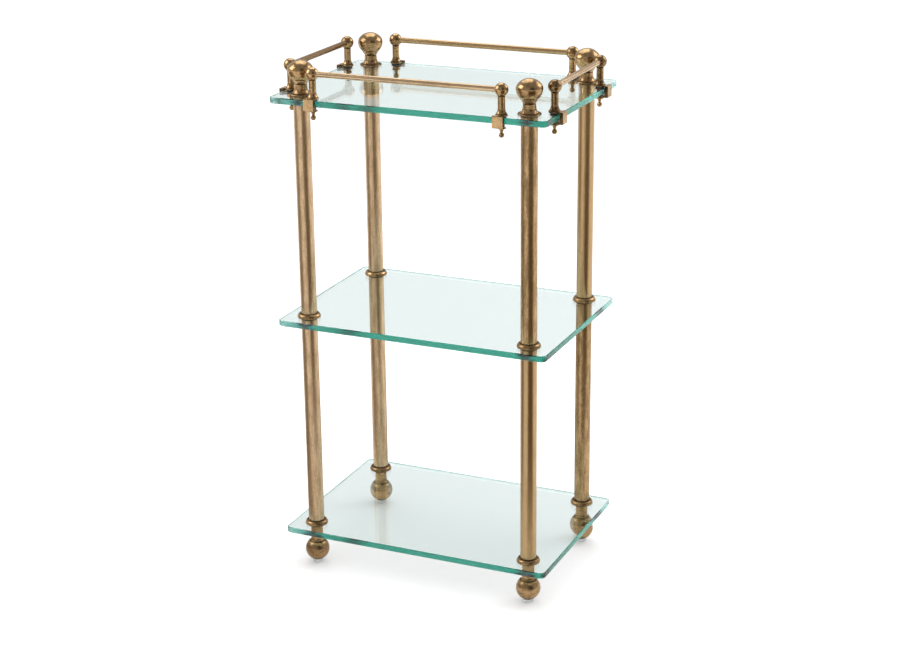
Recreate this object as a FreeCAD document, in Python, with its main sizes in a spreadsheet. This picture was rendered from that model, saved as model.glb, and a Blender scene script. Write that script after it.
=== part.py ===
import FreeCAD, Part
import os
import re
import Sketcher

# Free-standing bathroom shelf: three glass shelves on four turned brass posts, with a clamped gallery on top.
# Frame in millimetres: origin on the floor under the middle, X along the long side, front at -Y, Z up.

# Driving dimensions, in millimetres

SIZES = {
    # glass shelves
    "shelf_width": 380,
    "shelf_depth": 260,
    "glass_thickness": 8,
    "shelf_corner_radius": 8,
    "glass_arris": 0.8,
    "glass_hole_diameter": 10,
    # posts
    "post_inset_x": 33,
    "post_inset_y": 29,
    "tube_diameter": 21.2,
    "tube_wall": 1.5,
    "tube_end_wall": 4,
    "lower_tube_length": 287.5,
    "upper_tube_length": 287.5,
    "ring_diameter": 31.2,
    "ring_height": 6,
    "ring_edge_radius": 0.8,
    "ring_groove_width": 1.4,
    "ring_groove_depth": 1.5,
    "ring_spigot_length": 8,
    "tie_rod_diameter": 6,
    # bushes in the glass
    "bush_flange_rim": 1.4,
    "bush_flange_thickness": 0.6,
    "bush_end_gap": 0.2,
    # finials
    "finial_flange_diameter": 30,
    "finial_flange_thickness": 2.2,
    "finial_flange_edge": 0.8,
    "finial_flare_diameter": 23.6,
    "finial_flare_height": 7.2,
    "finial_waist_diameter": 16.8,
    "finial_taper_height": 4.2,
    "finial_neck_diameter": 16.1,
    "finial_groove_width": 0.8,
    "finial_groove_depth": 0.5,
    "finial_cone_height": 5.4,
    "finial_cone_diameter": 22.8,
    "finial_ball_diameter": 33.5,
    "finial_crown_height": 12.8,
    "finial_shoulder_radius": 9.5,
    "finial_thread_depth": 20,
    # feet
    "foot_ball_diameter": 32.8,
    "foot_flat_diameter": 12.4,
    "foot_shoulder_diameter": 21,
    "foot_flare_height": 5,
    "foot_neck_wall": 1.6,
    "foot_stem_height": 30.3,
    "foot_thread_depth": 16,
    # glides under the feet
    "glide_diameter": 14.4,
    "glide_thickness": 4.8,
    "glide_edge_radius": 0.6,
    "glide_peg_diameter": 5,
    "glide_peg_length": 6,
    # gallery rails and balusters
    "rail_diameter": 7.5,
    "rail_height": 32.9,
    "rail_grip": 5,
    "long_rail_offset": 28,
    "short_rail_offset": 20,
    "baluster_inset": 7.8,
    "baluster_ball_diameter": 17.2,
    "baluster_stem_diameter": 9.2,
    "baluster_bell_diameter": 15.5,
    "baluster_bell_rim": 1.4,
    "baluster_bell_height": 9.6,
    "baluster_peg_diameter": 4,
    # clamps under the balusters
    "cushion_diameter": 13,
    "cushion_thickness": 0.8,
    "block_width": 15,
    "block_thickness": 4.8,
    "block_edge_gap": 1.2,
    "block_chamfer": 0.6,
    "arm_width": 8,
    "upper_arm_thickness": 1.8,
    "lower_arm_thickness": 2,
    "pad_diameter": 12,
    "pad_thickness": 1.3,
    "pad_travel": 1.3,
    # thumbscrews
    "screw_diameter": 4,
    "screw_tip_diameter": 2.4,
    "screw_tip_length": 0.6,
    "thumb_disc_diameter": 12,
    "thumb_disc_thickness": 1.6,
    "thumb_disc_gap": 1,
    "thumb_root_diameter": 6,
    "thumb_neck_diameter": 3.2,
    "thumb_neck_length": 5,
    "thumb_ball_diameter": 6.8,
    # clearances, each on a radius or between two ends
    "thread_clearance": 0.05,
    "rod_clearance": 0.2,
    "rod_end_clearance": 1,
    "bush_clearance": 0.1,
    "spigot_clearance": 0.1,
    "glide_clearance": 0.05,
    "rail_clearance": 0.05,
    "rail_end_clearance": 0.1,
    "arm_clearance": 0.1,
    "peg_clearance": 0.05,
    "screw_clearance": 0.05,
}

doc = FreeCAD.newDocument("BathroomShelf")
sheet = doc.addObject("Spreadsheet::Sheet", "Sizes")
for row, (alias, size) in enumerate(SIZES.items(), start=1):
    sheet.set(f"A{row}", alias)
    sheet.set(f"B{row}", str(size))
    sheet.setAlias(f"B{row}", alias)
doc.recompute()

# Radii shared by pieces that fit each other

TUBE_R = "(tube_diameter / 2)"
TUBE_BORE_R = "(tube_diameter / 2 - tube_wall)"
ROD_R = "(tie_rod_diameter / 2)"
ROD_HOLE_R = f"({ROD_R} + rod_clearance)"
ROD_THREAD_R = f"({ROD_R} + thread_clearance)"
BUSH_FLANGE_R = "(glass_hole_diameter / 2 + bush_flange_rim)"
BUSH_SEAT_R = f"({BUSH_FLANGE_R} + bush_clearance)"
FOOT_R = "(foot_ball_diameter / 2)"
HEAD_R = "(baluster_ball_diameter / 2)"
ARM_R = "(arm_width / 2)"
PEG_R = "(baluster_peg_diameter / 2)"
SCREW_R = "(screw_diameter / 2)"
TIP_R = "(screw_tip_diameter / 2)"

# Heights above the floor

FOOT_BALL_Z = f"(glide_thickness + sqrt({FOOT_R} ^ 2 - (foot_flat_diameter / 2) ^ 2))"
BOTTOM_UNDER = f"({FOOT_BALL_Z} + foot_stem_height)"
BOTTOM_TOP = f"({BOTTOM_UNDER} + glass_thickness)"
RING_SEAT = "(ring_height - ring_groove_depth)"
LOWER_TUBE_Z = f"({BOTTOM_TOP} + {RING_SEAT})"
MIDDLE_UNDER = f"({LOWER_TUBE_Z} + lower_tube_length)"
MIDDLE_TOP = f"({MIDDLE_UNDER} + glass_thickness)"
UPPER_TUBE_Z = f"({MIDDLE_TOP} + {RING_SEAT})"
TOP_UNDER = f"({UPPER_TUBE_Z} + upper_tube_length)"
TOP_TOP = f"({TOP_UNDER} + glass_thickness)"
PAD_Z = f"({TOP_UNDER} - pad_thickness)"

# Positions in plan

POST_X = "(shelf_width / 2 - post_inset_x)"
POST_Y = "(shelf_depth / 2 - post_inset_y)"
LONG_RAIL_HALF = f"({POST_X} - long_rail_offset)"
SHORT_RAIL_HALF = f"({POST_Y} - short_rail_offset)"
POSTS = {
    "front_left": (-1, -1),
    "front_right": (1, -1),
    "back_left": (-1, 1),
    "back_right": (1, 1),
}


def bound(expression):
    """The expression with every named size written as a cell of the sheet."""
    return re.sub(
        r"[a-z_]+",
        lambda word: f"Sizes.{word.group()}" if word.group() in SIZES else word.group(),
        expression,
    )


def value(expression):
    """The number that an expression in the named sizes gives."""
    return float(sheet.evalExpression(bound(expression)))


def set_size(thing, name, expression):
    """Bind one property of an object to the sheet."""
    thing.setExpression(name, bound(expression))


def place(thing, x, y, z, axis=(0, 0, 1), turn=0):
    """Turn an object about an axis and bind its position to the sheet."""
    turned_by = FreeCAD.Rotation(FreeCAD.Vector(*axis), turn)
    thing.Placement = FreeCAD.Placement(FreeCAD.Vector(), turned_by)
    set_size(thing, "Placement.Base.x", x)
    set_size(thing, "Placement.Base.y", y)
    set_size(thing, "Placement.Base.z", z)


def signed(sign, expression):
    """The expression on the side of the middle that the sign names."""
    return f"{sign} * {expression}"


# Sketches and features


def new_body(name):
    body = doc.addObject("PartDesign::Body", name)
    body.Label = name
    return body


def new_sketch(body, name, plane, offset="0"):
    """An empty sketch on one of the body's own planes, moved along the plane's normal."""
    sketch = body.newObject("Sketcher::SketchObject", f"{body.Name}_{name}")
    support = [item for item in body.Origin.OriginFeatures if item.Role == plane][0]
    sketch.AttachmentSupport = [(support, "")]
    sketch.MapMode = "FlatFace"
    set_size(sketch, "AttachmentOffset.Base.z", offset)
    return sketch


def limit(sketch, constraint, expression):
    """Add one dimension to a sketch and bind it to the sheet."""
    number = sketch.addConstraint(constraint)
    name = f"d{number}"
    sketch.renameConstraint(number, name)
    set_size(sketch, f"Constraints.{name}", expression)


def pin(sketch, curve, point, x, y):
    """Hold a sketch point at a place that the sheet gives."""
    for kind, own_axis, expression in (("DistanceX", -2, x), ("DistanceY", -1, y)):
        distance = value(expression)
        if abs(distance) < 1e-9:
            sketch.addConstraint(Sketcher.Constraint("PointOnObject", curve, point, own_axis))
        elif distance > 0:
            limit(sketch, Sketcher.Constraint(kind, -1, 1, curve, point, distance), expression)
        else:
            limit(sketch, Sketcher.Constraint(kind, curve, point, -1, 1, -distance), f"-({expression})")


def arc_middle(first, last, radius, side):
    """The middle of the shorter arc between two points, to the left (1) or the right (-1) of the way."""
    chord = last - first
    half = chord.Length / 2
    rise = radius - max(radius * radius - half * half, 0) ** 0.5
    left = FreeCAD.Vector(-chord.y, chord.x, 0).normalize()
    return (first + last) * 0.5 + left * (side * rise)


def outline(sketch, corners, arcs=None):
    """Draw a closed outline through the corners; arcs maps an edge number to its radius and side."""
    arcs = arcs or {}
    spots = [FreeCAD.Vector(value(x), value(y), 0) for x, y in corners]
    edges = []
    for number, first in enumerate(spots):
        last = spots[(number + 1) % len(spots)]
        if number in arcs:
            radius, side = arcs[number]
            middle = arc_middle(first, last, value(radius), side)
            curve = sketch.addGeometry(Part.Arc(first, middle, last), False)
            forward = (sketch.getPoint(curve, 1) - first).Length < (sketch.getPoint(curve, 2) - first).Length
            edges.append((curve, 1, 2) if forward else (curve, 2, 1))
        else:
            curve = sketch.addGeometry(Part.LineSegment(first, last), False)
            edges.append((curve, 1, 2))
    for number, (curve, start, _) in enumerate(edges):
        before, _, end = edges[number - 1]
        sketch.addConstraint(Sketcher.Constraint("Coincident", before, end, curve, start))
        pin(sketch, curve, start, *corners[number])
        if number in arcs:
            radius = arcs[number][0]
            limit(sketch, Sketcher.Constraint("Radius", curve, value(radius)), radius)


def circle(sketch, x, y, radius):
    """Draw a circle with its middle and radius held by the sheet."""
    middle = FreeCAD.Vector(value(x), value(y), 0)
    curve = sketch.addGeometry(Part.Circle(middle, FreeCAD.Vector(0, 0, 1), value(radius)), False)
    pin(sketch, curve, 3, x, y)
    limit(sketch, Sketcher.Constraint("Radius", curve, value(radius)), radius)


def turn(body, corners, arcs=None):
    """Turn a profile of (radius, height) corners about the body's own upright axis."""
    sketch = new_sketch(body, "profile", "XZ_Plane")
    outline(sketch, corners, arcs)
    turned = body.newObject("PartDesign::Revolution", f"{body.Name}_turned")
    turned.Profile = sketch
    turned.ReferenceAxis = (sketch, ["V_Axis"])
    turned.Angle = 360
    doc.recompute()
    return turned


def add(body, sketch, length):
    """Raise a sketch along its plane's normal."""
    pad = body.newObject("PartDesign::Pad", f"{sketch.Name}_raised")
    pad.Profile = sketch
    set_size(pad, "Length", length)
    doc.recompute()
    return pad


def cut(body, sketch, length, along_normal):
    """Cut a sketch into the body, along its plane's normal or against it."""
    before = body.Shape.Volume
    pocket = body.newObject("PartDesign::Pocket", f"{sketch.Name}_cut")
    pocket.Profile = sketch
    pocket.Reversed = along_normal
    set_size(pocket, "Length", length)
    doc.recompute()
    if body.Shape.Volume > before - 0.01:
        raise ValueError(f"{sketch.Name} cuts nothing")
    return pocket


def edges_where(feature, test):
    """The names of a feature's edges whose bounding box passes the test."""
    return [f"Edge{n}" for n, edge in enumerate(feature.Shape.Edges, start=1) if test(edge.BoundBox)]


def group(name, members):
    """One node that holds several separate solids."""
    gathered = doc.addObject("Part::Compound", name)
    gathered.Label = name
    gathered.Links = members
    return gathered


# Glass shelves


def make_shelf(name, under):
    """A glass plate with rounded corners, a small arris all round and a hole for each post."""
    body = new_body(name)
    plate = new_sketch(body, "plate", "XY_Plane")
    half_x = "shelf_width / 2"
    half_y = "shelf_depth / 2"
    outline(plate, [(f"{i} * {half_x}", f"{j} * {half_y}") for i, j in ((-1, -1), (1, -1), (1, 1), (-1, 1))])
    slab = add(body, plate, "glass_thickness")

    rounded = body.newObject("PartDesign::Fillet", f"{name}_corners")
    rounded.Base = (slab, edges_where(slab, lambda box: box.ZLength > 1))
    set_size(rounded, "Radius", "shelf_corner_radius")
    doc.recompute()

    arris = body.newObject("PartDesign::Chamfer", f"{name}_arris")
    arris.Base = (rounded, edges_where(rounded, lambda box: box.ZLength < 0.01))
    set_size(arris, "Size", "glass_arris")
    doc.recompute()

    holes = new_sketch(body, "holes", "XY_Plane")
    for i, j in POSTS.values():
        circle(holes, signed(i, POST_X), signed(j, POST_Y), "glass_hole_diameter / 2")
    cut(body, holes, "glass_thickness", True)
    place(body, "0", "0", under)
    return body


# Posts


def make_tube(name, i, j, z, length):
    """A tube with a brazed end wall at the top that takes the bush flange and lets the tie rod through."""
    body = new_body(name)
    turn(body, [
        (TUBE_BORE_R, "0"),
        (TUBE_R, "0"),
        (TUBE_R, length),
        (BUSH_SEAT_R, length),
        (BUSH_SEAT_R, f"{length} - bush_flange_thickness"),
        (ROD_HOLE_R, f"{length} - bush_flange_thickness"),
        (ROD_HOLE_R, f"{length} - tube_end_wall"),
        (TUBE_BORE_R, f"{length} - tube_end_wall"),
    ])
    place(body, signed(i, POST_X), signed(j, POST_Y), z)
    return body


def make_ring(name, i, j, z):
    """A quarter-round collar with a shadow groove round the tube and a spigot that centres the tube."""
    body = new_body(name)
    ring_r = "(ring_diameter / 2)"
    lip_r = f"({TUBE_R} + ring_groove_width)"
    round_in = f"({ring_r} - {lip_r})"
    round_up = "(ring_height - ring_edge_radius)"
    round_r = f"(({round_in} ^ 2 + {round_up} ^ 2) / (2 * {round_in}))"
    spigot_r = f"({TUBE_BORE_R} - spigot_clearance)"
    spigot_top = f"({RING_SEAT} + ring_spigot_length)"
    corners = [
        (ROD_HOLE_R, "0"),
        (f"{ring_r} - ring_edge_radius", "0"),
        (ring_r, "ring_edge_radius"),
        (lip_r, "ring_height"),
        (lip_r, RING_SEAT),
        (spigot_r, RING_SEAT),
        (spigot_r, spigot_top),
        (ROD_HOLE_R, spigot_top),
    ]
    turn(body, corners, {1: ("ring_edge_radius", -1), 2: (round_r, -1)})
    place(body, signed(i, POST_X), signed(j, POST_Y), z)
    return body


def make_finial(name, i, j):
    """A ball with a flattened crown on a waisted neck, with a round-edged flange that covers the hole."""
    body = new_body(name)
    rim = "(finial_flange_thickness - finial_flange_edge)"
    flange_r = "(finial_flange_diameter / 2)"
    flare_start = "(finial_flare_diameter / 2)"
    waist_r = "(finial_waist_diameter / 2)"
    neck_r = "(finial_neck_diameter / 2)"
    cone_r = "(finial_cone_diameter / 2)"
    ball_r = "(finial_ball_diameter / 2)"
    waist_z = "(finial_flange_thickness + finial_flare_height)"
    groove_z = f"({waist_z} + finial_taper_height)"
    neck_z = f"({groove_z} + finial_groove_width)"
    cone_z = f"({neck_z} + finial_cone_height)"
    ball_z = f"({cone_z} + sqrt({ball_r} ^ 2 - {cone_r} ^ 2))"
    top_z = f"({ball_z} + finial_crown_height)"
    # the crown is an oval: a shoulder arc that runs into a flatter arc across the top
    crown = "finial_crown_height"
    shoulder = "finial_shoulder_radius"
    inner = f"({ball_r} - {shoulder})"
    top_r = f"(({inner} ^ 2 + {crown} ^ 2 - {shoulder} ^ 2) / (2 * ({crown} - {shoulder})))"
    join_r = f"({inner} * {top_r} / ({top_r} - {shoulder}))"
    join_z = f"({ball_z} + {shoulder} * ({top_r} - {crown}) / ({top_r} - {shoulder}))"
    flare_in = f"({flare_start} - {waist_r})"
    flare_r = f"(({flare_in} ^ 2 + finial_flare_height ^ 2) / (2 * {flare_in}))"
    corners = [
        (ROD_THREAD_R, "0"),
        (f"{flange_r} - finial_flange_edge", "0"),
        (flange_r, "finial_flange_edge"),
        (f"{flange_r} - {rim}", "finial_flange_thickness"),
        (flare_start, "finial_flange_thickness"),
        (waist_r, waist_z),
        (neck_r, groove_z),
        (f"{neck_r} - finial_groove_depth", f"{groove_z} + finial_groove_width / 2"),
        (neck_r, neck_z),
        (cone_r, cone_z),
        (ball_r, ball_z),
        (join_r, join_z),
        ("0", top_z),
        ("0", "finial_thread_depth"),
        (ROD_THREAD_R, "finial_thread_depth"),
    ]
    arcs = {
        1: ("finial_flange_edge", -1),
        2: (rim, -1),
        4: (flare_r, 1),
        9: (ball_r, -1),
        10: (shoulder, -1),
        11: (top_r, -1),
    }
    turn(body, corners, arcs)
    place(body, signed(i, POST_X), signed(j, POST_Y), TOP_TOP)
    return body


def make_foot(name, i, j):
    """A ball foot with a narrow neck, bored at the top for the tie rod and at the bottom for the glide."""
    body = new_body(name)
    neck_r = f"({BUSH_SEAT_R} + foot_neck_wall)"
    shoulder_r = "(foot_shoulder_diameter / 2)"
    shoulder_z = f"({FOOT_BALL_Z} + sqrt({FOOT_R} ^ 2 - {shoulder_r} ^ 2))"
    flare_in = f"({shoulder_r} - {neck_r})"
    flare_r = f"(({flare_in} ^ 2 + foot_flare_height ^ 2) / (2 * {flare_in}))"
    peg_hole_r = "(glide_peg_diameter / 2 + glide_clearance)"
    peg_hole_z = "(glide_thickness + glide_peg_length + rod_end_clearance)"
    seat_z = f"({BOTTOM_UNDER} - bush_flange_thickness)"
    corners = [
        (peg_hole_r, "glide_thickness"),
        ("foot_flat_diameter / 2", "glide_thickness"),
        (FOOT_R, FOOT_BALL_Z),
        (shoulder_r, shoulder_z),
        (neck_r, f"{shoulder_z} + foot_flare_height"),
        (neck_r, BOTTOM_UNDER),
        (BUSH_SEAT_R, BOTTOM_UNDER),
        (BUSH_SEAT_R, seat_z),
        (ROD_THREAD_R, seat_z),
        (ROD_THREAD_R, f"{seat_z} - foot_thread_depth"),
        ("0", f"{seat_z} - foot_thread_depth"),
        ("0", peg_hole_z),
        (peg_hole_r, peg_hole_z),
    ]
    turn(body, corners, {1: (FOOT_R, -1), 2: (FOOT_R, -1), 3: (flare_r, 1)})
    place(body, signed(i, POST_X), signed(j, POST_Y), "0")
    return body


def make_glide(name, i, j):
    """A clear disc under the foot with a peg that holds it in the ball."""
    body = new_body(name)
    disc_r = "(glide_diameter / 2)"
    peg_r = "(glide_peg_diameter / 2)"
    peg_top = "(glide_thickness + glide_peg_length)"
    corners = [
        ("0", "0"),
        (f"{disc_r} - glide_edge_radius", "0"),
        (disc_r, "glide_edge_radius"),
        (disc_r, "glide_thickness"),
        (peg_r, "glide_thickness"),
        (peg_r, peg_top),
        ("0", peg_top),
    ]
    turn(body, corners, {1: ("glide_edge_radius", -1)})
    place(body, signed(i, POST_X), signed(j, POST_Y), "0")
    return body


def make_tie_rod(name, i, j):
    """A rod that draws the foot, the shelves, the tubes and the finial together."""
    rod = doc.addObject("Part::Cylinder", name)
    start = f"({BOTTOM_UNDER} - bush_flange_thickness - foot_thread_depth + rod_end_clearance)"
    end = f"({TOP_TOP} + finial_thread_depth - rod_end_clearance)"
    set_size(rod, "Radius", ROD_R)
    set_size(rod, "Height", f"{end} - {start}")
    place(rod, signed(i, POST_X), signed(j, POST_Y), start)
    return rod


def make_bush(name, i, j, under):
    """A flanged sleeve that keeps the tie rod and the post off the glass."""
    body = new_body(name)
    sleeve_r = "(glass_hole_diameter / 2 - bush_clearance)"
    sleeve_top = "(bush_flange_thickness + glass_thickness - bush_end_gap)"
    turn(body, [
        (ROD_HOLE_R, "0"),
        (BUSH_FLANGE_R, "0"),
        (BUSH_FLANGE_R, "bush_flange_thickness"),
        (sleeve_r, "bush_flange_thickness"),
        (sleeve_r, sleeve_top),
        (ROD_HOLE_R, sleeve_top),
    ])
    place(body, signed(i, POST_X), signed(j, POST_Y), f"{under} - bush_flange_thickness")
    return body


# Gallery clamps: each is drawn for the front edge, with its own axis at the origin and the glass top at zero


def tongue(sketch, hole_r):
    """The plan of a clamp arm: a tongue from the block to a round end with a hole on the axis."""
    root = "-(baluster_inset + block_edge_gap)"
    corners = [
        (f"-{ARM_R}", root),
        (ARM_R, root),
        (ARM_R, "0"),
        ("0", ARM_R),
        (f"-{ARM_R}", "0"),
    ]
    outline(sketch, corners, {2: (ARM_R, -1), 3: (ARM_R, -1)})
    circle(sketch, "0", "0", hole_r)


def make_bracket(name):
    """A clamp: a block outside the glass edge, an upper arm under the baluster and a lower arm for the screw."""
    body = new_body(name)
    top = "(cushion_thickness + upper_arm_thickness)"
    bottom = "-(glass_thickness + pad_thickness + pad_travel + lower_arm_thickness)"
    half = "(block_width / 2)"
    block = new_sketch(body, "block", "XZ_Plane", "baluster_inset + block_edge_gap")
    outline(block, [(f"-{half}", bottom), (half, bottom), (half, top), (f"-{half}", top)])
    add(body, block, "block_thickness")

    upper = new_sketch(body, "upper_arm", "XY_Plane", "cushion_thickness")
    tongue(upper, f"{PEG_R} + peg_clearance")
    add(body, upper, "upper_arm_thickness")

    lower = new_sketch(body, "lower_arm", "XY_Plane", bottom)
    tongue(lower, f"{SCREW_R} + screw_clearance")
    arms = add(body, lower, "lower_arm_thickness")

    face_y = -value("baluster_inset + block_edge_gap + block_thickness")
    eased = body.newObject("PartDesign::Chamfer", f"{name}_eased")
    eased.Base = (arms, edges_where(arms, lambda box: box.YMax < face_y + 0.01))
    set_size(eased, "Size", "block_chamfer")
    doc.recompute()
    return body


def make_baluster(name, hand):
    """A ball head with a socket for the rail, on a stem with a bell foot that sits over the clamp's upper arm."""
    body = new_body(name)
    foot_z = "cushion_thickness"
    stem_r = "(baluster_stem_diameter / 2)"
    bell_r = "(baluster_bell_diameter / 2)"
    flare_in = f"({bell_r} - {stem_r})"
    flare_up = "(baluster_bell_height - baluster_bell_rim)"
    flare_r = f"(({flare_in} ^ 2 + {flare_up} ^ 2) / (2 * {flare_in}))"
    corners = [
        ("0", foot_z),
        (bell_r, foot_z),
        (bell_r, f"{foot_z} + baluster_bell_rim"),
        (stem_r, f"{foot_z} + baluster_bell_height"),
        (stem_r, f"rail_height - sqrt({HEAD_R} ^ 2 - {stem_r} ^ 2)"),
        (HEAD_R, "rail_height"),
        ("0", f"rail_height + {HEAD_R}"),
    ]
    turn(body, corners, {2: (flare_r, 1), 4: (HEAD_R, -1), 5: (HEAD_R, -1)})

    slot = new_sketch(body, "arm_slot", "XY_Plane", foot_z)
    slot_r = f"({ARM_R} + arm_clearance)"
    corners = [
        (f"-{slot_r}", f"-baluster_bell_diameter"),
        (slot_r, f"-baluster_bell_diameter"),
        (slot_r, "0"),
        ("0", slot_r),
        (f"-{slot_r}", "0"),
    ]
    outline(slot, corners, {2: (slot_r, -1), 3: (slot_r, -1)})
    cut(body, slot, "upper_arm_thickness", True)

    peg = new_sketch(body, "peg", "XY_Plane", foot_z)
    circle(peg, "0", "0", PEG_R)
    add(body, peg, "upper_arm_thickness")

    socket_x = f"({HEAD_R} - rail_grip)"
    socket = new_sketch(body, "rail_socket", "YZ_Plane", signed(hand, socket_x))
    circle(socket, "0", "rail_height", "rail_diameter / 2 + rail_clearance")
    cut(body, socket, HEAD_R, hand > 0)
    return body


def make_pad(name):
    """The pressure pad that the screw pushes against the glass, with a dimple for the screw's tip."""
    body = new_body(name)
    pad_r = "(pad_diameter / 2)"
    dimple_r = f"({TIP_R} + screw_clearance)"
    dimple_z = "(screw_tip_length + screw_clearance)"
    turn(body, [
        (dimple_r, "0"),
        (pad_r, "0"),
        (pad_r, "pad_thickness"),
        ("0", "pad_thickness"),
        ("0", dimple_z),
        (dimple_r, dimple_z),
    ])
    return body


def make_thumbscrew(name):
    """A screw with a small tip, a thin thumb disc and a ball on a tapered neck below it."""
    body = new_body(name)
    neck_r = "(thumb_neck_diameter / 2)"
    root_r = "(thumb_root_diameter / 2)"
    ball_r = "(thumb_ball_diameter / 2)"
    disc_r = "(thumb_disc_diameter / 2)"
    rim = "(thumb_disc_thickness / 2)"
    disc_top = "(-(pad_travel + lower_arm_thickness + thumb_disc_gap))"
    disc_under = f"({disc_top} - thumb_disc_thickness)"
    ball_join = f"({disc_under} - thumb_neck_length)"
    ball_z = f"({ball_join} - sqrt({ball_r} ^ 2 - {neck_r} ^ 2))"
    corners = [
        ("0", f"{ball_z} - {ball_r}"),
        (ball_r, ball_z),
        (neck_r, ball_join),
        (root_r, disc_under),
        (f"{disc_r} - {rim}", disc_under),
        (disc_r, f"{disc_under} + {rim}"),
        (f"{disc_r} - {rim}", disc_top),
        (SCREW_R, disc_top),
        (SCREW_R, "0"),
        (TIP_R, "0"),
        (TIP_R, "screw_tip_length"),
        ("0", "screw_tip_length"),
    ]
    turn(body, corners, {0: (ball_r, -1), 1: (ball_r, -1), 4: (rim, -1), 5: (rim, -1)})
    return body


def make_cushion(name):
    """A clear disc that keeps the upper jaw off the glass."""
    cushion = doc.addObject("Part::Cylinder", name)
    set_size(cushion, "Radius", "cushion_diameter / 2")
    set_size(cushion, "Height", "cushion_thickness")
    return cushion


def make_rail(name, axis, quarter, reach, x, y):
    """A rod between two ball heads, seated in their sockets."""
    rail = doc.addObject("Part::Cylinder", name)
    rail.Label = name
    half = f"({reach} - {HEAD_R} + rail_grip - rail_end_clearance)"
    set_size(rail, "Radius", "rail_diameter / 2")
    set_size(rail, "Height", f"2 * {half}")
    start_x = f"-{half}" if quarter > 0 else x
    start_y = f"-{half}" if quarter < 0 else y
    place(rail, start_x, start_y, f"{TOP_TOP} + rail_height", axis, quarter)
    return rail


# Build every piece

pieces = [
    make_shelf("bottom_shelf", BOTTOM_UNDER),
    make_shelf("middle_shelf", MIDDLE_UNDER),
    make_shelf("top_shelf", TOP_UNDER),
]

rings = []
rods = []
glides = []
bushes = []
for corner, (i, j) in POSTS.items():
    pieces.append(make_finial(f"finial_{corner}", i, j))
    pieces.append(make_tube(f"upper_tube_{corner}", i, j, UPPER_TUBE_Z, "upper_tube_length"))
    pieces.append(make_tube(f"lower_tube_{corner}", i, j, LOWER_TUBE_Z, "lower_tube_length"))
    pieces.append(make_foot(f"foot_{corner}", i, j))
    rings.append(make_ring(f"middle_ring_{corner}", i, j, MIDDLE_TOP))
    rings.append(make_ring(f"bottom_ring_{corner}", i, j, BOTTOM_TOP))
    rods.append(make_tie_rod(f"tie_rod_{corner}", i, j))
    glides.append(make_glide(f"glide_{corner}", i, j))
    for level, under in (("bottom", BOTTOM_UNDER), ("middle", MIDDLE_UNDER), ("top", TOP_UNDER)):
        bushes.append(make_bush(f"{level}_bush_{corner}", i, j, under))

# Each edge of the top shelf: its turn from the front edge, its clamps' distance out and along, and the clamp names

FRONT_OUT = "(shelf_depth / 2 - baluster_inset)"
SIDE_OUT = "(shelf_width / 2 - baluster_inset)"
EDGES = [
    (0, (1, 0), FRONT_OUT, LONG_RAIL_HALF, "front_left", "front_right"),
    (90, (0, 1), SIDE_OUT, SHORT_RAIL_HALF, "right_front", "right_back"),
    (180, (-1, 0), FRONT_OUT, LONG_RAIL_HALF, "back_right", "back_left"),
    (270, (0, -1), SIDE_OUT, SHORT_RAIL_HALF, "left_back", "left_front"),
]

cushions = []
for angle, (cos, sin), out, along, first, second in EDGES:
    for name, end in ((first, -1), (second, 1)):
        x = f"{end * cos} * {along} + {sin} * {out}"
        y = f"{end * sin} * {along} - {cos} * {out}"
        baluster = make_baluster(f"baluster_{name}", -end)
        bracket = make_bracket(f"clamp_bracket_{name}")
        pad = make_pad(f"pressure_pad_{name}")
        screw = make_thumbscrew(f"thumbscrew_{name}")
        cushion = make_cushion(f"cushion_{name}")
        for piece, z in ((baluster, TOP_TOP), (bracket, TOP_TOP), (cushion, TOP_TOP), (pad, PAD_Z), (screw, PAD_Z)):
            place(piece, x, y, z, turn=angle)
        cushions.append(cushion)
        pieces += [baluster, bracket, pad, screw]

pieces += [
    make_rail("front_rail", (0, 1, 0), 90, LONG_RAIL_HALF, "0", f"-{FRONT_OUT}"),
    make_rail("back_rail", (0, 1, 0), 90, LONG_RAIL_HALF, "0", FRONT_OUT),
    make_rail("left_rail", (1, 0, 0), -90, SHORT_RAIL_HALF, f"-{SIDE_OUT}", "0"),
    make_rail("right_rail", (1, 0, 0), -90, SHORT_RAIL_HALF, SIDE_OUT, "0"),
    group("collar_rings", rings),
    group("tie_rods", rods),
    group("glides", glides),
    group("glass_bushes", bushes),
    group("clamp_cushions", cushions),
]
doc.recompute()

# Check every object, then write the pieces

for item in doc.Objects:
    if "Invalid" in item.State or "Error" in item.State:
        raise ValueError(f"{item.Label} did not build")
os.makedirs("parts", exist_ok=True)
for piece in pieces:
    if piece.Shape.isNull() or not piece.Shape.isValid() or not piece.Shape.Solids:
        raise ValueError(f"{piece.Label} has no sound solid")
    piece.Shape.exportStep(f"parts/{piece.Label}.step")
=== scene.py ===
import math

import bpy
from mathutils import Euler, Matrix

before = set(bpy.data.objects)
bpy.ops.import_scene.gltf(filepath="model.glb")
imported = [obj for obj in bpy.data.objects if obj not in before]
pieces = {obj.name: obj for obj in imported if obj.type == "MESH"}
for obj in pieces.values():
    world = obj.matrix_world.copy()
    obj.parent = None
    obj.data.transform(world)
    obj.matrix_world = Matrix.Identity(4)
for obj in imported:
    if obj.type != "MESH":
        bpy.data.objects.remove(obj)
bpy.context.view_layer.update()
scene = bpy.context.scene

# Camera, as the photograph was taken: metres, degrees, millimetres of lens on a 36 mm wide film
CAMERA_PLACE = (1.01489, -2.25390, 1.19010)
CAMERA_TURN = (70.7575, 0.6212, 23.9736)
CAMERA_LENS = 77.666
FILM_WIDTH = 36.0
CAMERA_SIDE = math.atan2(CAMERA_PLACE[1], CAMERA_PLACE[0])

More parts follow.
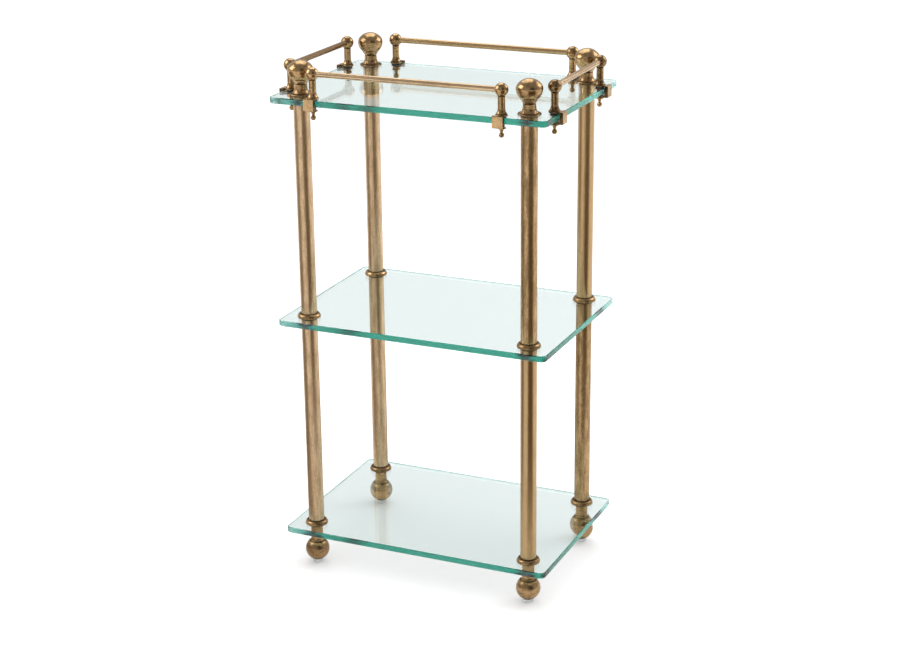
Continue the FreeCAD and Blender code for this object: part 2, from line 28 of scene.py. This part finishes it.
# White floor: its glow fills up to white away from a rectangle under the shelf, where a lower glow paints a
# shadow; seen in metal and through glass its glow is lower near the shelf, a painted shade there; in metres
FLOOR_SIZE = 24.0
FLOOR_GREY = 0.84
SHADED_HALF = (0.15, 0.075, 0.0)
GLOW = {"start": 0.0, "end": 0.11, "low": 0.28, "high": 0.60}
GLOW_MIRRORED = {"start": 0.25, "end": 3.40, "low": 0.26, "high": 0.63}

# Soft lamps: place and size in metres, power in watts
LAMPS = {
    "overhead lamp": {"place": (-0.60, 1.00, 2.4), "size": 1.6, "power": 16.0},
    "left lamp": {"place": (-1.45, -0.60, 1.55), "size": 1.2, "power": 12.0, "on_floor": False},
    "right lamp": {"place": (1.15, 1.20, 1.55), "size": 1.1, "power": 10.0},
}
LAMP_AIM = (0.0, 0.0, 0.45)

# The room round the shelf: its light, and how its walls show in polished surfaces
ROOM_LIGHT = 0.58
ROOM_THROUGH_GLASS = 0.72
SIDE_WALLS = 0.42
BACK_WALL = 0.64
CEILING = 0.28
DARK_CORNER = 0.065
DARK_CORNER_TURN = math.radians(24)
DARK_CORNER_RISE = math.radians(20)
BACK_FROM, BACK_TO = -0.85, -0.30
CEILING_FROM, CEILING_TO = 0.50, 0.80
CORNER_FROM, CORNER_TO = 0.86, 0.98

# Dark stretches of the floor beyond the white sheet, which show only in polished metal: metres, degrees
FADE_CENTRE = (0.12, -0.05)
FADE_START = 0.06
FADE_END = 0.58
FLOOR_REACH = 5.0
FLOOR_RISE = 0.004
FLOOR_STEPS = 24
DARK_FLOOR = {
    "floor in front": (-12, 54, (0.13, 0.085, 0.035, 1)),
    "floor to the left": (-120, -72, (0.30, 0.26, 0.21, 1)),
    "floor behind": (172, 215, (0.22, 0.18, 0.14, 1)),
}

# Colours of the finishes, in linear light: clean metal and aged metal
GOLDEN_BRASS = ((0.74, 0.530, 0.325, 1), (0.35, 0.220, 0.110, 1))
BROWN_BRASS = ((0.57, 0.382, 0.195, 1), (0.20, 0.115, 0.047, 1))
DARK_BRASS = ((0.35, 0.220, 0.110, 1), (0.20, 0.115, 0.047, 1))
TURNED_BRASS = ((0.57, 0.365, 0.175, 1), (0.17, 0.095, 0.039, 1))
WORN_BRASS = ((0.52, 0.330, 0.160, 1), (0.13, 0.074, 0.031, 1))
# A darker copy of the turned brass, painting shade on the right baluster
SHADED_TURNED_BRASS = ((0.36, 0.225, 0.105, 1), (0.10, 0.056, 0.024, 1))
MILLED_BRASS = ((0.64, 0.425, 0.215, 1), (0.26, 0.155, 0.066, 1))
# Dark polish for the recesses, also painting shade in creases and on lower parts
BRASS_GRIME_AND_SHADE = (0.050, 0.028, 0.012, 1)
GLASS_TINT = (0.077, 0.731, 0.650, 1)
GLASS_SHADOW = (1.0, 0.967, 0.970, 1)
GLASS_SCATTER = (0.56, 0.82, 0.78, 1)
CLEAR_PLASTIC = ((0.93, 0.95, 0.94, 1), (0.80, 0.84, 0.83, 1))
PAD_RUBBER = ((0.020, 0.018, 0.016, 1), (0.060, 0.055, 0.050, 1))
ZINC = ((0.62, 0.62, 0.60, 1), (0.38, 0.38, 0.37, 1))
WHITE = (1, 1, 1, 1)

# How each surface is worked: tool lines and streaks run along the directions with small numbers, blotches and
# specks are counted per metre, and polish is the roughness of clean and of aged surface
TUBE_GRAIN = {
    "lines": (1, 1, 0.02), "fineness": 1400.0,
    "streaks": (1, 1, 0.16), "blotch": 220.0, "speck": 1540.0, "polish": (0.28, 0.42),
}
WIDE_GRAIN = {
    "lines": (0.02, 1, 1), "fineness": 1800.0,
    "streaks": (0.08, 1, 1), "blotch": 160.0, "speck": 1120.0, "polish": (0.22, 0.34),
}
DEEP_GRAIN = {
    "lines": (1, 0.02, 1), "fineness": 1800.0,
    "streaks": (1, 0.08, 1), "blotch": 160.0, "speck": 1120.0, "polish": (0.22, 0.34),
}
TURNED_GRAIN = {
    "lines": (0.05, 0.05, 1), "fineness": 2200.0,
    "streaks": (0.5, 0.5, 1), "blotch": 60.0, "speck": 420.0, "polish": (0.20, 0.34),
}
MILLED_GRAIN = {
    "lines": (0.3, 0.3, 1), "fineness": 1500.0,
    "streaks": (1, 1, 1), "blotch": 90.0, "speck": 630.0, "polish": (0.26, 0.40),
}
ROLLED_GRAIN = {
    "lines": (1, 1, 0.02), "fineness": 1500.0,
    "streaks": (1, 1, 0.2), "blotch": 60.0, "speck": 500.0, "polish": (0.25, 0.45),
}
PLASTIC_GRAIN = {"streaks": (1, 1, 1), "blotch": 120.0, "speck": 900.0, "polish": (0.08, 0.22)}
RUBBER_GRAIN = {"streaks": (1, 1, 1), "blotch": 150.0, "speck": 1600.0, "polish": (0.62, 0.85)}
AGED_FROM = 0.80
AGED_TO = 1.20
BUMP_STRENGTH = 0.5
BRASS_DEPTH = 0.00003
RUBBER_DEPTH = 0.00008
ZINC_DEPTH = 0.00004
# How much of that dark polish and painted shade is laid on
GRIME_AND_SHADE_SHARE = 0.85
GRIME_ROUGHNESS = 0.6

# Painted shade on two faces of the clamps, in dark brown: the square of the normal's share along the shaded
# direction
SIDE_FROM = 0.4
SIDE_TO = 0.8
SIDE_SHARE = 0.95
SIDE_SHADE_BROWN = (0.085, 0.050, 0.024, 1)

# Optics
GLASS_IOR = 1.52
GLASS_DENSITY = 13.8
GLASS_EDGE_ROUGHNESS = 0.3
GLASS_SCATTER_SHARE = 0.75
GLASS_FACE_FROM = 0.3
GLASS_FACE_TO = 0.6
GLASS_MARKS = {"Scale": 9.0, "Clean": 0.0, "Marked": 0.02}
MARKS_FROM = 0.50
MARKS_TO = 0.75
PLASTIC_IOR = 1.49
PLASTIC_TRANSMISSION = 0.9
MAX_BOUNCES = 48
GLASS_BOUNCES = 24
MIRROR_BOUNCES = 36

MILLIMETRE = 0.001
UP = (0, 0, 1)
SIDE_TO_SIDE = (1, 0, 0)
FRONT_TO_BACK = (0, 1, 0)

# Levels of the recesses that hold dark polish and painted shade, and how far it spreads, in millimetres; the
# wide spreads low on the feet and the lower collars paint shade on their lower parts
TUBE_RECESSES = ((62.8, 2.6), (362.8, 2.6), (350.3, 1.2), (650.3, 1.2))
COLLAR_RECESSES = ((58.2, 2.4), (64.4, 2.0), (358.2, 1.4), (364.4, 1.0))
FINIAL_RECESSES = ((658.2, 1.0), (660.6, 0.8), (672.3, 0.7))
FOOT_RECESSES = ((4.8, 6.5), (32.6, 2.2), (50.3, 1.8))
BALUSTER_RECESSES = ((659.0, 1.1), (661.6, 1.1), (683.8, 1.8))


# Helpers for node trees

def put(tree, kind, inputs=None, **settings):
    """Adds a node with its settings, and sets or links its inputs."""
    node = tree.nodes.new(kind)
    for name, value in settings.items():
        setattr(node, name, value)
    for name, value in (inputs or {}).items():
        if isinstance(value, bpy.types.NodeSocket):
            tree.links.new(value, node.inputs[name])
        else:
            node.inputs[name].default_value = value
    return node


def mix_colour(tree, share, first, second):
    """The first colour turned into the second by a share from 0 to 1."""
    return put(tree, "ShaderNodeMix", {0: share, 6: first, 7: second}, data_type="RGBA").outputs[2]


def mix_value(tree, share, first, second):
    """The first value turned into the second by a share from 0 to 1."""
    return put(tree, "ShaderNodeMix", {0: share, 2: first, 3: second}).outputs[0]


def calculate(tree, operation, first, second):
    """One sum of two values."""
    return put(tree, "ShaderNodeMath", {0: first, 1: second}, operation=operation).outputs[0]


def ramp(tree, value, start, end, low=0.0, high=1.0):
    """A soft step from low to high while the value goes from start to end."""
    return put(tree, "ShaderNodeMapRange", {
        "Value": value, "From Min": start, "From Max": end, "To Min": low, "To Max": high,
    }, interpolation_type="SMOOTHSTEP").outputs[0]


def along(tree, vector, direction):
    """How far a vector goes in a direction."""
    product = put(tree, "ShaderNodeVectorMath", {0: vector, 1: direction}, operation="DOT_PRODUCT")
    return product.outputs["Value"]


def distance(tree, vector):
    """The length of a vector."""
    return put(tree, "ShaderNodeVectorMath", {0: vector}, operation="LENGTH").outputs["Value"]


def beyond(tree, vector, half):
    """How far a place lies outside a box round the origin, given by half of each side."""
    sides = put(tree, "ShaderNodeVectorMath", {0: vector}, operation="ABSOLUTE").outputs[0]
    past = put(tree, "ShaderNodeVectorMath", {0: sides, 1: half}, operation="SUBTRACT").outputs[0]
    outside = put(tree, "ShaderNodeVectorMath", {0: past, 1: (0, 0, 0)}, operation="MAXIMUM").outputs[0]
    return distance(tree, outside)


def new_material(name):
    """A material with an empty node tree."""
    material = bpy.data.materials.new(name)
    material.use_nodes = True
    material.node_tree.nodes.clear()
    return material, material.node_tree


def new_group(name, inputs, outputs):
    """A shader node group with its named sockets, and the ends to link inside it."""
    tree = bpy.data.node_groups.new(name, "ShaderNodeTree")
    for socket, kind in inputs.items():
        tree.interface.new_socket(socket, in_out="INPUT", socket_type="NodeSocket" + kind)
    for socket, kind in outputs.items():
        tree.interface.new_socket(socket, in_out="OUTPUT", socket_type="NodeSocket" + kind)
    return tree, put(tree, "NodeGroupInput").outputs, put(tree, "NodeGroupOutput").inputs


# Effects that several finishes share

def make_patina():
    """Ageing in soft blotches and fine specks, drawn out along the directions that Stretch makes small."""
    tree, given, result = new_group(
        "patina",
        {"Vector": "Vector", "Stretch": "Vector", "Blotch Scale": "Float", "Speck Scale": "Float",
         "Aged Share": "Float", "Clean Colour": "Color", "Aged Colour": "Color",
         "Polished": "Float", "Tarnished": "Float"},
        {"Colour": "Color", "Roughness": "Float", "Height": "Float"},
    )
    drawn = put(tree, "ShaderNodeVectorMath", {0: given["Vector"], 1: given["Stretch"]}, operation="MULTIPLY")
    blotches = put(tree, "ShaderNodeTexNoise", {
        "Vector": drawn.outputs[0], "Scale": given["Blotch Scale"], "Detail": 4.0, "Roughness": 0.6})
    specks = put(tree, "ShaderNodeTexNoise", {
        "Vector": drawn.outputs[0], "Scale": given["Speck Scale"], "Detail": 3.0, "Roughness": 0.65})
    both = calculate(tree, "ADD", blotches.outputs["Fac"], specks.outputs["Fac"])
    aged = calculate(tree, "MULTIPLY", ramp(tree, both, AGED_FROM, AGED_TO), given["Aged Share"])
    rough = mix_value(tree, aged, given["Polished"], given["Tarnished"])
    tree.links.new(mix_colour(tree, aged, given["Clean Colour"], given["Aged Colour"]), result["Colour"])
    tree.links.new(rough, result["Roughness"])
    tree.links.new(specks.outputs["Fac"], result["Height"])
    return tree


def make_tool_lines():
    """Fine lines that a die or a lathe leaves, drawn out along the directions that Stretch makes small."""
    tree, given, result = new_group(
        "tool lines", {"Vector": "Vector", "Stretch": "Vector", "Fineness": "Float"}, {"Height": "Float"})
    drawn = put(tree, "ShaderNodeVectorMath", {0: given["Vector"], 1: given["Stretch"]}, operation="MULTIPLY")
    lines = put(tree, "ShaderNodeTexNoise", {
        "Vector": drawn.outputs[0], "Scale": given["Fineness"], "Detail": 2.0, "Roughness": 0.5})
    tree.links.new(lines.outputs["Fac"], result["Height"])
    return tree


def make_recess():
    """A mask round one level of a turned piece, where dark polish and painted shade are laid."""
    tree, given, result = new_group(
        "recess", {"Vector": "Vector", "Level": "Float", "Spread": "Float"}, {"Mask": "Float"})
    height = put(tree, "ShaderNodeSeparateXYZ", {0: given["Vector"]}).outputs["Z"]
    off = put(tree, "ShaderNodeMath", {0: calculate(tree, "SUBTRACT", height, given["Level"])},
              operation="ABSOLUTE").outputs[0]
    tree.links.new(ramp(tree, off, 0.0, given["Spread"], 1.0, 0.0), result["Mask"])
    return tree


def make_smudges():
    """Faint marks from wiping and handling: a roughness that wanders between two values."""
    tree, given, result = new_group(
        "smudges", {"Vector": "Vector", "Scale": "Float", "Clean": "Float", "Marked": "Float"},
        {"Roughness": "Float"})
    marks = put(tree, "ShaderNodeTexNoise", {
        "Vector": given["Vector"], "Scale": given["Scale"],
        "Detail": 5.0, "Roughness": 0.55, "Distortion": 0.8})
    mask = ramp(tree, marks.outputs["Fac"], MARKS_FROM, MARKS_TO)
    tree.links.new(mix_value(tree, mask, given["Clean"], given["Marked"]), result["Roughness"])
    return tree


patina = make_patina()
tool_lines = make_tool_lines()
recess = make_recess()
smudges = make_smudges()


# Finishes

def bump(tree, height, depth):
    """A surface normal from a height, with the depth in metres."""
    return put(tree, "ShaderNodeBump", {
        "Strength": BUMP_STRENGTH, "Distance": depth, "Height": height}).outputs[0]


def age(tree, place, grain, colours, share):
    """The patina of one surface: its colour, roughness and height."""
    return put(tree, "ShaderNodeGroup", {
        "Vector": place, "Stretch": grain["streaks"], "Blotch Scale": grain["blotch"],
        "Speck Scale": grain["speck"], "Aged Share": share,
        "Clean Colour": colours[0], "Aged Colour": colours[1],
        "Polished": grain["polish"][0], "Tarnished": grain["polish"][1],
    }, node_tree=patina).outputs


def tooling(tree, place, grain):
    """The height of the tool lines of one surface."""
    return put(tree, "ShaderNodeGroup", {
        "Vector": place, "Stretch": grain["lines"], "Fineness": grain["fineness"],
    }, node_tree=tool_lines).outputs["Height"]


def antique_brass(name, grain, colours, aged, recesses=(), shaded_sides=None):
    """Aged brass with tool lines, dark polish and painted shade in its recesses, and painted shade in dark
    brown on the two faces along a given direction.
    """
    material, tree = new_material(name)
    place = put(tree, "ShaderNodeTexCoord").outputs["Object"]
    surface = age(tree, place, grain, colours, aged)
    lines = tooling(tree, place, grain)
    colour = surface["Colour"]
    rough = surface["Roughness"]
    grime_and_shade = None
    for level, spread in recesses:
        mask = put(tree, "ShaderNodeGroup", {
            "Vector": place, "Level": level * MILLIMETRE, "Spread": spread * MILLIMETRE,
        }, node_tree=recess).outputs["Mask"]
        grime_and_shade = mask if grime_and_shade is None else calculate(tree, "MAXIMUM", grime_and_shade, mask)
    # Dark polish in the recesses, partly painted shade in the creases, on the feet's undersides and on the
    # lower collars
    if grime_and_shade is not None:
        share = calculate(tree, "MULTIPLY", grime_and_shade, GRIME_AND_SHADE_SHARE)
        colour = mix_colour(tree, share, colour, BRASS_GRIME_AND_SHADE)
        rough = mix_value(tree, share, rough, GRIME_ROUGHNESS)
    # Painted shade: the faces along the given direction turn dark brown
    if shaded_sides is not None:
        turned = along(tree, put(tree, "ShaderNodeNewGeometry").outputs["True Normal"], shaded_sides)
        square = calculate(tree, "MULTIPLY", turned, turned)
        sides = ramp(tree, square, SIDE_FROM, SIDE_TO, 0.0, SIDE_SHARE)
        colour = mix_colour(tree, sides, colour, SIDE_SHADE_BROWN)
    height = calculate(tree, "ADD", lines, surface["Height"])
    metal = put(tree, "ShaderNodeBsdfPrincipled", {
        "Base Color": colour, "Metallic": 1.0, "Roughness": rough,
        "Normal": bump(tree, height, BRASS_DEPTH)})
    put(tree, "ShaderNodeOutputMaterial", {"Surface": metal.outputs[0]})
    return material


def float_glass():
    """Clear glass, green through its depth, with light scattered in its edges and a few wiping marks."""
    material, tree = new_material("green-edged float glass")
    place = put(tree, "ShaderNodeTexCoord").outputs["Object"]
    marks = put(tree, "ShaderNodeGroup", {"Vector": place, **GLASS_MARKS}, node_tree=smudges)
    side = put(tree, "ShaderNodeNewGeometry").outputs
    facing = along(tree, side["True Normal"], UP)
    flat = put(tree, "ShaderNodeMath", {0: facing}, operation="ABSOLUTE").outputs[0]
    edge = ramp(tree, flat, GLASS_FACE_FROM, GLASS_FACE_TO, 1.0, 0.0)
    clear = put(tree, "ShaderNodeBsdfPrincipled", {
        "Base Color": WHITE, "IOR": GLASS_IOR, "Transmission Weight": 1.0,
        "Roughness": mix_value(tree, edge, marks.outputs["Roughness"], GLASS_EDGE_ROUGHNESS)})
    scattered = put(tree, "ShaderNodeBsdfTranslucent", {"Color": GLASS_SCATTER})
    inner = calculate(tree, "MULTIPLY", edge, side["Backfacing"])
    inner = calculate(tree, "MULTIPLY", inner, GLASS_SCATTER_SHARE)
    body = put(tree, "ShaderNodeMixShader", {0: inner, 1: clear.outputs[0], 2: scattered.outputs[0]})
    lamp_light = put(tree, "ShaderNodeBsdfTransparent", {"Color": GLASS_SHADOW})
    path = put(tree, "ShaderNodeLightPath").outputs
    seen = put(tree, "ShaderNodeMixShader", {
        0: path["Is Diffuse Ray"], 1: body.outputs[0], 2: lamp_light.outputs[0]})
    surface = put(tree, "ShaderNodeMixShader", {
        0: path["Is Shadow Ray"], 1: seen.outputs[0], 2: lamp_light.outputs[0]})
    depth = put(tree, "ShaderNodeVolumeAbsorption", {"Color": GLASS_TINT, "Density": GLASS_DENSITY})
    put(tree, "ShaderNodeOutputMaterial", {"Surface": surface.outputs[0], "Volume": depth.outputs[0]})
    return material


def clear_plastic():
    """Clear moulded plastic with a slight haze."""
    material, tree = new_material("clear plastic")
    place = put(tree, "ShaderNodeTexCoord").outputs["Object"]
    haze = age(tree, place, PLASTIC_GRAIN, CLEAR_PLASTIC, 0.8)
    body = put(tree, "ShaderNodeBsdfPrincipled", {
        "Base Color": haze["Colour"], "Roughness": haze["Roughness"],
        "IOR": PLASTIC_IOR, "Transmission Weight": PLASTIC_TRANSMISSION})
    put(tree, "ShaderNodeOutputMaterial", {"Surface": body.outputs[0]})
    return material


def pad_rubber():
    """Matt black rubber, dusty in places."""
    material, tree = new_material("pad rubber")
    place = put(tree, "ShaderNodeTexCoord").outputs["Object"]
    dust = age(tree, place, RUBBER_GRAIN, PAD_RUBBER, 0.7)
    body = put(tree, "ShaderNodeBsdfPrincipled", {
        "Base Color": dust["Colour"], "Roughness": dust["Roughness"],
        "Normal": bump(tree, dust["Height"], RUBBER_DEPTH)})
    put(tree, "ShaderNodeOutputMaterial", {"Surface": body.outputs[0]})
    return material


def zinc_rod():
    """Zinc-plated steel, rolled lengthwise."""
    material, tree = new_material("zinc-plated rod")
    place = put(tree, "ShaderNodeTexCoord").outputs["Object"]
    dull = age(tree, place, ROLLED_GRAIN, ZINC, 0.8)
    metal = put(tree, "ShaderNodeBsdfPrincipled", {
        "Base Color": dull["Colour"], "Metallic": 1.0, "Roughness": dull["Roughness"],
        "Normal": bump(tree, tooling(tree, place, ROLLED_GRAIN), ZINC_DEPTH)})
    put(tree, "ShaderNodeOutputMaterial", {"Surface": metal.outputs[0]})
    return material


golden_tube = antique_brass("golden tube", TUBE_GRAIN, GOLDEN_BRASS, 0.60, TUBE_RECESSES)
amber_tube = antique_brass("amber tube", TUBE_GRAIN, BROWN_BRASS, 0.22, TUBE_RECESSES)
brown_tube = antique_brass("brown tube", TUBE_GRAIN, BROWN_BRASS, 0.75, TUBE_RECESSES)
glass = float_glass()
plastic = clear_plastic()

# The finish of each piece, by the longest beginning of its name. The right baluster and the right clamps take
# darker copies of the brass as painted shade; the right-hand tubes and the left and back rails also take
# darker copies
FINISHES = {
    "upper_tube": golden_tube, "upper_tube_front_right": brown_tube, "upper_tube_back_right": amber_tube,
    "lower_tube": golden_tube, "lower_tube_front_right": amber_tube, "lower_tube_back_right": brown_tube,
    "front_rail": antique_brass("golden rail", WIDE_GRAIN, GOLDEN_BRASS, 0.60),
    "back_rail": antique_brass("amber rail", WIDE_GRAIN, BROWN_BRASS, 0.20),
    "left_rail": antique_brass("dark rail", DEEP_GRAIN, DARK_BRASS, 0.60),
    "right_rail": antique_brass("aged golden rail", DEEP_GRAIN, GOLDEN_BRASS, 0.80),
    "finial": antique_brass("turned finial", TURNED_GRAIN, TURNED_BRASS, 0.60, FINIAL_RECESSES),
    "foot": antique_brass("turned foot", TURNED_GRAIN, WORN_BRASS, 0.60, FOOT_RECESSES),
    "collar_rings": antique_brass("turned collar", TURNED_GRAIN, TURNED_BRASS, 0.60, COLLAR_RECESSES),
    "baluster": antique_brass("turned baluster", TURNED_GRAIN, TURNED_BRASS, 0.60, BALUSTER_RECESSES),
    # Painted shade: a darker copy of the turned brass on the right baluster
    "baluster_right": antique_brass("shaded baluster", TURNED_GRAIN, SHADED_TURNED_BRASS, 0.70, BALUSTER_RECESSES),
    "thumbscrew": antique_brass("turned thumbscrew", TURNED_GRAIN, WORN_BRASS, 0.60),
    # The clamps' side faces carry painted shade in dark brown
    "clamp_bracket": antique_brass("milled clamp", MILLED_GRAIN, MILLED_BRASS, 0.50, (), SIDE_TO_SIDE),
    "clamp_bracket_left": antique_brass("left clamp", MILLED_GRAIN, MILLED_BRASS, 0.60, (), FRONT_TO_BACK),
    # Painted shade: a darker copy of the brass on the right clamps
    "clamp_bracket_right": antique_brass("right clamp", MILLED_GRAIN, BROWN_BRASS, 0.70, (), FRONT_TO_BACK),
    "bottom_shelf": glass, "middle_shelf": glass, "top_shelf": glass,
    "glides": plastic, "glass_bushes": plastic, "clamp_cushions": plastic,
    "pressure_pad": pad_rubber(), "tie_rods": zinc_rod(),
}

for name, piece in pieces.items():
    kind = max((k for k in FINISHES if name.startswith(k)), key=len)
    piece.data.materials[0] = FINISHES[kind]


# Studio

def make_floor():
    """A wide white floor that keeps the shelf's shadow, with a painted shadow under and round the shelf where
    its glow is lower.
    """
    material, tree = new_material("white floor")
    path = put(tree, "ShaderNodeLightPath").outputs
    matt = put(tree, "ShaderNodeBsdfDiffuse", {"Color": (FLOOR_GREY, FLOOR_GREY, FLOOR_GREY, 1)})
    place = put(tree, "ShaderNodeTexCoord").outputs["Object"]
    mirrored = calculate(tree, "MAXIMUM", path["Is Glossy Ray"], path["Is Transmission Ray"])
    # Painted shade in reflections and through glass: the glow is lower near the shelf
    strength = calculate(tree, "MULTIPLY", mirrored, ramp(tree, distance(tree, place), **GLOW_MIRRORED))
    # Painted shadow: less glow in the rectangle under the shelf
    near = ramp(tree, beyond(tree, place, SHADED_HALF), **GLOW)
    strength = mix_value(tree, path["Is Camera Ray"], strength, near)
    glow = put(tree, "ShaderNodeEmission", {"Strength": strength})
    both = put(tree, "ShaderNodeAddShader", {0: matt.outputs[0], 1: glow.outputs[0]})
    put(tree, "ShaderNodeOutputMaterial", {"Surface": both.outputs[0]})
    half = FLOOR_SIZE / 2
    mesh = bpy.data.meshes.new("floor")
    corners = [(-half, -half, 0), (half, -half, 0), (half, half, 0), (-half, half, 0)]
    mesh.from_pydata(corners, [], [(0, 1, 2, 3)])
    mesh.materials.append(material)
    floor = bpy.data.objects.new("floor", mesh)
    scene.collection.objects.link(floor)


def make_dark_floor(name, start, end, shade):
    """A dark stretch of floor beyond the white sheet, between two turns from the camera's side."""
    material, tree = new_material(name)
    place = put(tree, "ShaderNodeTexCoord").outputs["Object"]
    centre = (*FADE_CENTRE, FLOOR_RISE)
    away = distance(tree, put(
        tree, "ShaderNodeVectorMath", {0: place, 1: centre}, operation="SUBTRACT").outputs[0])
    through = put(tree, "ShaderNodeLightPath").outputs["Is Transmission Ray"]
    share = calculate(tree, "MULTIPLY", ramp(tree, away, FADE_START, FADE_END),
                      calculate(tree, "SUBTRACT", 1.0, through))
    dark = put(tree, "ShaderNodeEmission", {"Color": shade, "Strength": 1.0})
    clear = put(tree, "ShaderNodeBsdfTransparent")
    surface = put(tree, "ShaderNodeMixShader", {0: share, 1: clear.outputs[0], 2: dark.outputs[0]})
    put(tree, "ShaderNodeOutputMaterial", {"Surface": surface.outputs[0]})
    points = []
    faces = []
    for step in range(FLOOR_STEPS + 1):
        turn = CAMERA_SIDE + math.radians(start + (end - start) * step / FLOOR_STEPS)
        for reach in (FADE_START, FLOOR_REACH):
            points.append((
                FADE_CENTRE[0] + reach * math.cos(turn), FADE_CENTRE[1] + reach * math.sin(turn), FLOOR_RISE))
        if step:
            last = 2 * step
            faces.append((last - 2, last - 1, last + 1, last))
    mesh = bpy.data.meshes.new(name)
    mesh.from_pydata(points, [], faces)
    mesh.materials.append(material)
    part = bpy.data.objects.new(name, mesh)
    scene.collection.objects.link(part)
    part.visible_camera = False
    part.visible_diffuse = False
    part.visible_volume_scatter = False
    part.visible_shadow = False


def make_lamp(name, place, size, power, on_floor=True):
    """A square soft lamp turned towards the middle of the shelf."""
    light = bpy.data.lights.new(name, "AREA")
    light.size = size
    light.energy = power
    lamp = bpy.data.objects.new(name, light)
    lamp.location = place
    lamp.visible_diffuse = on_floor
    aim = [a - b for a, b in zip(place, LAMP_AIM)]
    lamp.rotation_euler = (math.atan2(math.hypot(aim[0], aim[1]), aim[2]), 0, math.atan2(aim[0], -aim[1]))
    scene.collection.objects.link(lamp)


def make_world():
    """A plain light room, white behind the shelf, with a dim ceiling and a dark corner in polish."""
    world = bpy.data.worlds.new("studio room")
    world.use_nodes = True
    tree = world.node_tree
    tree.nodes.clear()
    path = put(tree, "ShaderNodeLightPath").outputs
    direction = put(tree, "ShaderNodeTexCoord").outputs["Generated"]
    forward = along(tree, direction, (math.cos(CAMERA_SIDE), math.sin(CAMERA_SIDE), 0))
    upward = along(tree, direction, UP)
    turn = CAMERA_SIDE + DARK_CORNER_TURN
    rise = DARK_CORNER_RISE
    corner = along(tree, direction, (
        math.cos(rise) * math.cos(turn), math.cos(rise) * math.sin(turn), math.sin(rise)))
    walls = ramp(tree, forward, BACK_FROM, BACK_TO, BACK_WALL, SIDE_WALLS)
    walls = mix_value(tree, ramp(tree, upward, CEILING_FROM, CEILING_TO), walls, CEILING)
    walls = mix_value(tree, ramp(tree, corner, CORNER_FROM, CORNER_TO), walls, DARK_CORNER)
    strength = mix_value(tree, path["Is Glossy Ray"], ROOM_LIGHT, walls)
    strength = mix_value(tree, path["Is Transmission Ray"], strength, ROOM_THROUGH_GLASS)
    strength = mix_value(tree, path["Is Camera Ray"], strength, 1.0)
    white = put(tree, "ShaderNodeBackground", {"Color": WHITE, "Strength": strength})
    put(tree, "ShaderNodeOutputWorld", {"Surface": white.outputs[0]})
    scene.world = world


def make_camera():
    """The camera where the photograph was taken."""
    lens = bpy.data.cameras.new("camera")
    lens.lens = CAMERA_LENS
    lens.sensor_width = FILM_WIDTH
    camera = bpy.data.objects.new("camera", lens)
    camera.location = CAMERA_PLACE
    camera.rotation_euler = Euler([math.radians(turn) for turn in CAMERA_TURN])
    scene.collection.objects.link(camera)
    scene.camera = camera


make_floor()
for name, (start, end, shade) in DARK_FLOOR.items():
    make_dark_floor(name, start, end, shade)
for name, lamp in LAMPS.items():
    make_lamp(name, **lamp)
make_world()
make_camera()

scene.view_settings.view_transform = "Standard"
scene.cycles.max_bounces = MAX_BOUNCES
scene.cycles.transmission_bounces = GLASS_BOUNCES
scene.cycles.glossy_bounces = MIRROR_BOUNCES
